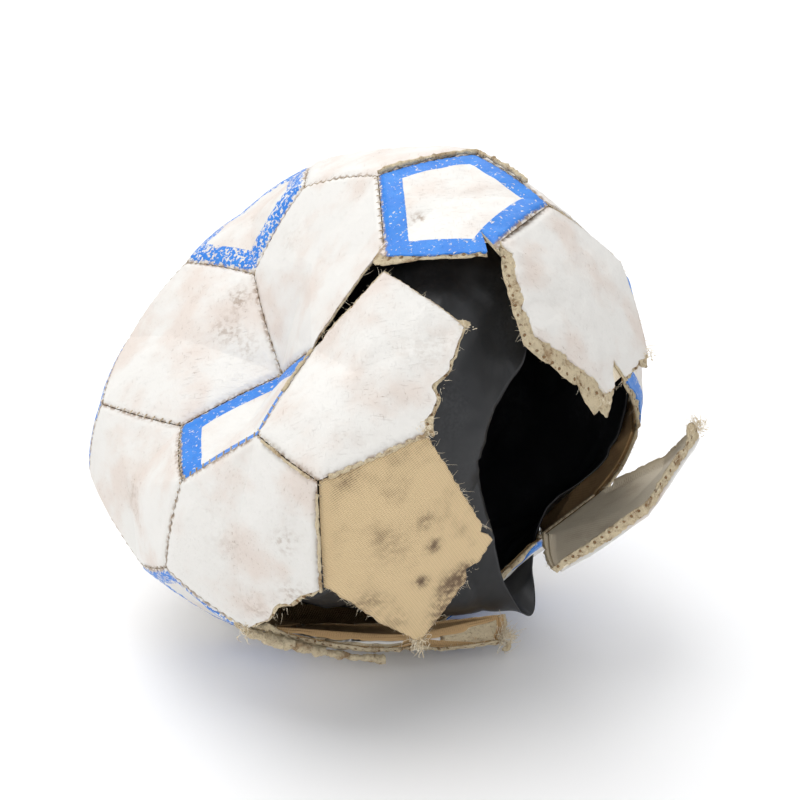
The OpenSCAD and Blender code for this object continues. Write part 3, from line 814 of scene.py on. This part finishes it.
# %% Bare cloth
BARE_SAMPLES = 60
BARE_DEPTH = 0.4 * MM
bare_rim, bare_sides, bare_torn = panel_rim("cloth_front", BARE_SAMPLES)
bare_t = np.tile(np.arange(BARE_SAMPLES) / BARE_SAMPLES, 5)
frayed_back = 0.8 * MM + 1.1 * MM * rough(bare_rim, 5 * MM, 61) + 0.5 * MM * noise(bare_rim, MM, 62)
bare_cut = 0.4 * MM + side_share("cloth_front", bare_sides, bare_t, NOTCHES) + bare_torn * frayed_back
bare_grid = cloth_part("cloth_front", BARE_SAMPLES, bare_cut, BARE_DEPTH, CLOTH_T, 20, crumple=0.8 * MM)
bare_cloth = piece_from("bare_cloth_sheet", [bare_grid], [CLOTH], "root", ["cloth_front"])
print("bare cloth:", len(bare_cloth.data.polygons), "faces")


# %% [markdown]
# ## The torn bladder
# The rubber bladder has lost its air and sags inside the lining. Its mouth is torn open towards the front
# right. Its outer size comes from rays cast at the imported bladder, from the ball's middle outwards. Folds
# push inwards from there, two bulges and the flared lip outwards, and the lip's low end is pulled to a tip.
# %% Bladder
MOUTH_AZ, MOUTH_EL = np.radians(-44), np.radians(4)
MOUTH_FLAT = np.array([np.cos(MOUTH_AZ), np.sin(MOUTH_AZ), 0.0])
MOUTH_AXIS = np.cos(MOUTH_EL) * MOUTH_FLAT + np.sin(MOUTH_EL) * np.array([0.0, 0.0, 1.0])
MOUTH_SIDE = unit(np.cross(MOUTH_AXIS, [0, 0, -1]))
MOUTH_TOP = np.cross(MOUTH_SIDE, MOUTH_AXIS)
MOUTH_TOP = MOUTH_TOP * np.sign(MOUTH_TOP[2])
RUBBER_T = 0.9 * MM
# The mouth in the bladder: angle round its axis, and degrees from the axis to the lip
LIP = np.array([
    [-180, 17.5], [-160, 17], [-124, 21], [-88, 36], [-60, 43], [-34, 46], [0, 41], [30, 36], [60, 36],
    [82, 34], [92, 22], [110, 18], [160, 16], [180, 17.5],
])
# Bulges: direction from the ball's middle, how far out, and how wide in degrees
BULGES = [((0.41, -0.48, -0.77), 15 * MM, 20), ((0.0, -0.8, -0.58), 5 * MM, 17)]
# The angle round the lip of its pulled tip, and where the tip ends
TIP_AT = -84
TIP_PLACE = np.array([70, -34, 12]) * MM


def outward_reach(node, directions):
    """Distance from the ball's middle to a node's first face along each direction, or 0 if there is none."""
    points, triangles = plate_mesh(node)
    tree = BVHTree.FromPolygons(points.tolist(), triangles.tolist())
    start = Vector(MIDDLE)
    hits = [tree.ray_cast(start, Vector(d))[3] for d in directions.reshape(-1, 3)]
    return np.array([0.0 if h is None else h for h in hits]).reshape(directions.shape[:-1])


u = np.linspace(-180, 180, 240, endpoint=False)
v = np.linspace(0, 1, 90)[:, None] ** 1.15
ragged = noise(np.stack([u / 14, u * 0, u * 0], -1), 1.0, 71)
lip = ring_smooth(np.interp(u, LIP[:, 0], LIP[:, 1]), 5) + 0.5 * ragged
angle = np.radians(lip + (180 - lip) * v)
ring_dir = np.cos(np.radians(u))[:, None] * MOUTH_SIDE + np.sin(np.radians(u))[:, None] * MOUTH_TOP
directions = np.cos(angle)[..., None] * MOUTH_AXIS + np.sin(angle)[..., None] * ring_dir
reach = outward_reach("bladder", directions)
for row in range(len(reach) - 2, -1, -1):
    reach[row] = np.where(reach[row] > 0, reach[row], reach[row + 1])
near_lip = np.exp(-v / 0.12)
surface = MIDDLE + reach[..., None] * directions
ridge = 1 - np.abs(noise(surface, 22 * MM, 81)) * 2
sag = (1.2 + 2.6 * near_lip) * MM * (0.5 + 0.5 * rough(surface, 24 * MM, 85)) + 1.4 * MM * ridge.clip(0) ** 3
surface = surface - sag[..., None] * directions
for towards, push, width in BULGES:
    off = np.degrees(np.arccos((directions @ unit(np.array(towards))).clip(-1, 1)))
    surface = surface + (push * np.exp(-(off / width) ** 2))[..., None] * directions
flare = 12 * MM * np.exp(-((u + 5) / 42) ** 2) * (1 - v / 0.3).clip(0) ** 2
surface = surface + flare[..., None] * directions
past = u - TIP_AT
pull = np.exp(-(past / np.where(past < 0, 38, 24)) ** 2) * (1 - v / 0.22).clip(0) ** 1.6
surface = surface + pull[..., None] * (TIP_PLACE - surface[0, np.argmin(abs(past))])
inside = surface - RUBBER_T * directions
both_sides = np.concatenate([surface, inside[::-1]])
skin = grid_part(both_sides, np.zeros(len(both_sides)), ring=True, seam=0.0, stain=0.0, along=0.0, crease=0.0)
piece_from("torn_bladder", [skin], [RUBBER], "root", ["bladder"])
print("bladder reach, mm:", (reach.min() / MM).round(1), "to", (reach.max() / MM).round(1))


# %% [markdown]
# ## Stitches and frayed thread
# Each sewn side has about a stitch every 4 mm, which only just shows in the seam. Torn sides have loose
# fibres of felt and cloth. They are hundreds of short tubes with few sides, joined into one piece for
# each body.
# %% Stitches
def seam_stitches(name, k):
    """Short thread arcs across a seam: offset x from -1.3 to 1.3 mm, depth 1.7 mm + 0.5 x^2."""
    panel = PANELS[name]
    a, b = panel["corners"][k], panel["corners"][(k + 1) % len(panel["corners"])]
    other, j = PARTNERS[name, k]
    there = PANELS[other]["corners"]
    a, b = (a + there[(j + 1) % len(there)]) / 2, (b + there[j]) / 2
    outward = unit((a + b) / 2 - MIDDLE)
    across = unit(np.cross(outward, b - a))
    x = np.linspace(-1.3, 1.3, 5)[:, None]
    parts = []
    for t in (np.arange(STITCHES) + 0.5) / STITCHES:
        point = a + t * (b - a) + 4 * t * (1 - t) * SEAM_BOW * outward
        path = point + x * MM * across + 0.35 * x * MM * unit(b - a) - (1.7 + 0.5 * x ** 2) * MM * outward
        parts.append(tube_part(path, 0.33 * MM, 6, seam=0.0))
    return parts


sewn = [side for side, partner in PARTNERS.items() if partner and side < partner and side[0] not in LOOSE
        and partner[0] not in LOOSE]
stitch_parts = [part for side in sewn for part in seam_stitches(*side)]
piece_from("seam_stitches", stitch_parts, [THREAD], "root", ["seam_thread"])
print(len(sewn), "sewn seams and", len(stitch_parts), "stitches")

# %% Loose fibres
luck = np.random.default_rng(7)
EDGE_SAMPLES = 60


def rim_edge(name):
    """The rim's finished edge, the way it points, its outward direction and its side numbers."""
    rim, sides, torn = panel_rim(name, EDGE_SAMPLES)
    away = np.array([0.1, 1.0])[:, None] * MM * np.ones(len(rim))
    points, out, _ = panel_base(name, rim, torn, away)
    return points[0], unit(points[0] - points[1]), out[0], sides


def fibres(name, per_side, sides, length_mm, depth_mm, thick_mm):
    """Curved strands from the rim: P = start + s L (outward + bend) + s^2 L droop."""
    edge, outwards, facings, side_of = rim_edge(name)
    parts = []
    for k in sides:
        at = np.flatnonzero(side_of == k)
        for start in luck.choice(at, per_side):
            outward, out = outwards[start], facings[start]
            wild = luck.normal(0, 0.9, 3)
            length = length_mm * MM * luck.uniform(0.3, 1.0) ** 2
            s = np.linspace(0, 1, 5)[:, None]
            root = edge[start] - 1.2 * MM * outward - luck.uniform(0.4, depth_mm) * MM * out
            root = root + luck.normal(0, 0.4, 3) * MM
            path = root + s * length * (outward + wild) + s ** 2 * length * luck.normal(0, 1.1, 3)
            parts.append(tube_part(path, thick_mm * MM * (1 - 0.7 * s[:, 0]), 3, seam=0.0))
    return parts


def tuft(name, k, count, length_mm):
    """A knot of curly strands at a corner: P = corner + s L (outward + bend) + L curl sin(3 s)."""
    edge, outwards, facings, _ = rim_edge(name)
    at = EDGE_SAMPLES * k
    corner, outward, out = edge[at], outwards[at], facings[at]
    parts = []
    for _ in range(count):
        s = np.linspace(0, 1, 8)[:, None]
        length = length_mm * MM * luck.uniform(0.35, 1.0)
        root = corner - 1.5 * MM * outward - 0.8 * MM * out + luck.normal(0, 1.5, 3) * MM
        path = root + s * length * (0.7 * outward + luck.normal(0, 0.5, 3))
        path = path + 0.35 * length * np.sin(3 * s) * luck.normal(0, 1, 3)
        path[:, 2] = np.maximum(path[:, 2], 0.6 * MM)
        parts.append(tube_part(path, 0.16 * MM * (1 - 0.6 * s[:, 0]), 4, seam=0.0))
    return parts


# Tufts: panel, corner, number of strands and their length in millimetres
TUFTS = [
    ("cloth_front", 3, 90, 3.6), ("white_torn_strip", 3, 120, 6.0), ("white_lying_out", 0, 90, 3.2),
    ("white_hanging", 4, 40, 2.6), ("white_hanging", 3, 40, 2.4), ("white_front", 5, 30, 1.8),
    ("white_low_front", 3, 60, 3.0), ("white_front", 4, 40, 2.0),
]
# Fibres along a torn side: how many, and in millimetres their length, depth in the layers and thickness
CLOTH_FRAY = (60, 1.7, 0.9, 0.1)
FELT_FRAY = (36, 1.5, 2.0, 0.1)
frayed = {"root": [], "hanging_panel": [], "lying_panel": []}
for row in TUFTS:
    frayed[PANELS[row[0]]["body"]] += tuft(*row)
for (panel_name, k), partner in PARTNERS.items():
    if partner is None:
        count, *sizes = CLOTH_FRAY if panel_name == "cloth_front" else FELT_FRAY
        frayed[PANELS[panel_name]["body"]] += fibres(panel_name, count, [k], *sizes)
for body, parts in frayed.items():
    piece_from("frayed_fibres_" + body, parts, [FIBRE], body)
print({body: len(parts) for body, parts in frayed.items()}, "fibres")


# %% [markdown]
# ## Ridges of torn felt
# Where a seam has pulled open a little, the felt stands up out of it as a lumpy, dirty ridge. Each is a
# tube along the seam, whose rings are pushed in and out by noise.
# %% Felt ridges
def felt_ridge(name, k, start, end, thick_mm, seed):
    """A tube along a seam from start to end, 0.25 to 1.25 times as thick, each point moved by noise."""
    corners = PANELS[name]["corners"]
    a, b = corners[k], corners[(k + 1) % len(corners)]
    t = np.linspace(start, end, 90)[:, None]
    outward = unit((a + b) / 2 - MIDDLE)
    path = a + t * (b - a) + 4 * t * (1 - t) * SEAM_BOW * outward
    path = path + 0.5 * MM * np.stack([rough(path, 5 * MM, seed + k) for k in range(3)], -1)
    thick = thick_mm * MM * (0.75 + 0.5 * rough(path, 3.5 * MM, seed + 5))
    points, quads, finish, facts = tube_part(path, thick, 10, seam=0.0, along=0.0)
    lumps = np.stack([rough(points, 1.6 * MM, seed + k) for k in (7, 8, 9)], -1)
    return points + 0.45 * thick_mm * MM * lumps, quads, finish, facts


# Panel, side, start, end and thickness in millimetres
RIDGES = [("blue_top", 0, 0.0, 1.0, 1.3), ("blue_top", 4, 0.35, 1.0, 1.5), ("cloth_front", 0, 0.0, 0.9, 1.2),
          ("white_low_front", 4, 0.0, 0.9, 0.8), ("white_low_front", 5, 0.1, 0.9, 0.7),
          ("white_front", 1, 0.0, 0.5, 0.9), ("white_torn_strip", 5, 0.0, 1.0, 2.2),
          ("white_torn_strip", 5, 0.45, 1.0, 2.8), ("white_torn_strip", 3, 0.0, 1.0, 1.5)]
ridge_parts = [felt_ridge(*row, 100 + 20 * k) for k, row in enumerate(RIDGES)]
piece_from("torn_felt_ridges", ridge_parts, [FELT], "root")
print(len(ridge_parts), "ridges")

# %% [markdown]
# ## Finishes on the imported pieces
# The valve's stem and core, the valve's lining and the hinge threads have the right shape already, so
# they keep their meshes and only get better finishes.
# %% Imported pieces
KEPT = {"valve_stem": VALVE, "valve_core": VALVE, "lining_valve": LINING, "thread_hanging": THREAD,
        "thread_lying_out": THREAD}
for node, finish in KEPT.items():
    for place in frame["nodes"][node].material_slots:
        place.material = finish
print("kept nodes:", sorted(KEPT))

# %% Floor
floor_mesh = bpy.data.meshes.new("floor")
floor_mesh.from_pydata([(-4, -4, 0), (4, -4, 0), (4, 4, 0), (-4, 4, 0)], [], [(0, 1, 2, 3)])
floor = bpy.data.objects.new("floor", floor_mesh)
bpy.context.scene.collection.objects.link(floor)
paint = Finish("pale_floor")
floor_colour = paint.blend(paint.noise(400.0), (0.93, 0.93, 0.93), (0.95, 0.95, 0.95))
floor_mesh.materials.append(paint.wear(floor_colour, paint.noise(90.0) * 0.05 + 0.6))
print("floor:", round(floor.dimensions.x, 1), "m across")
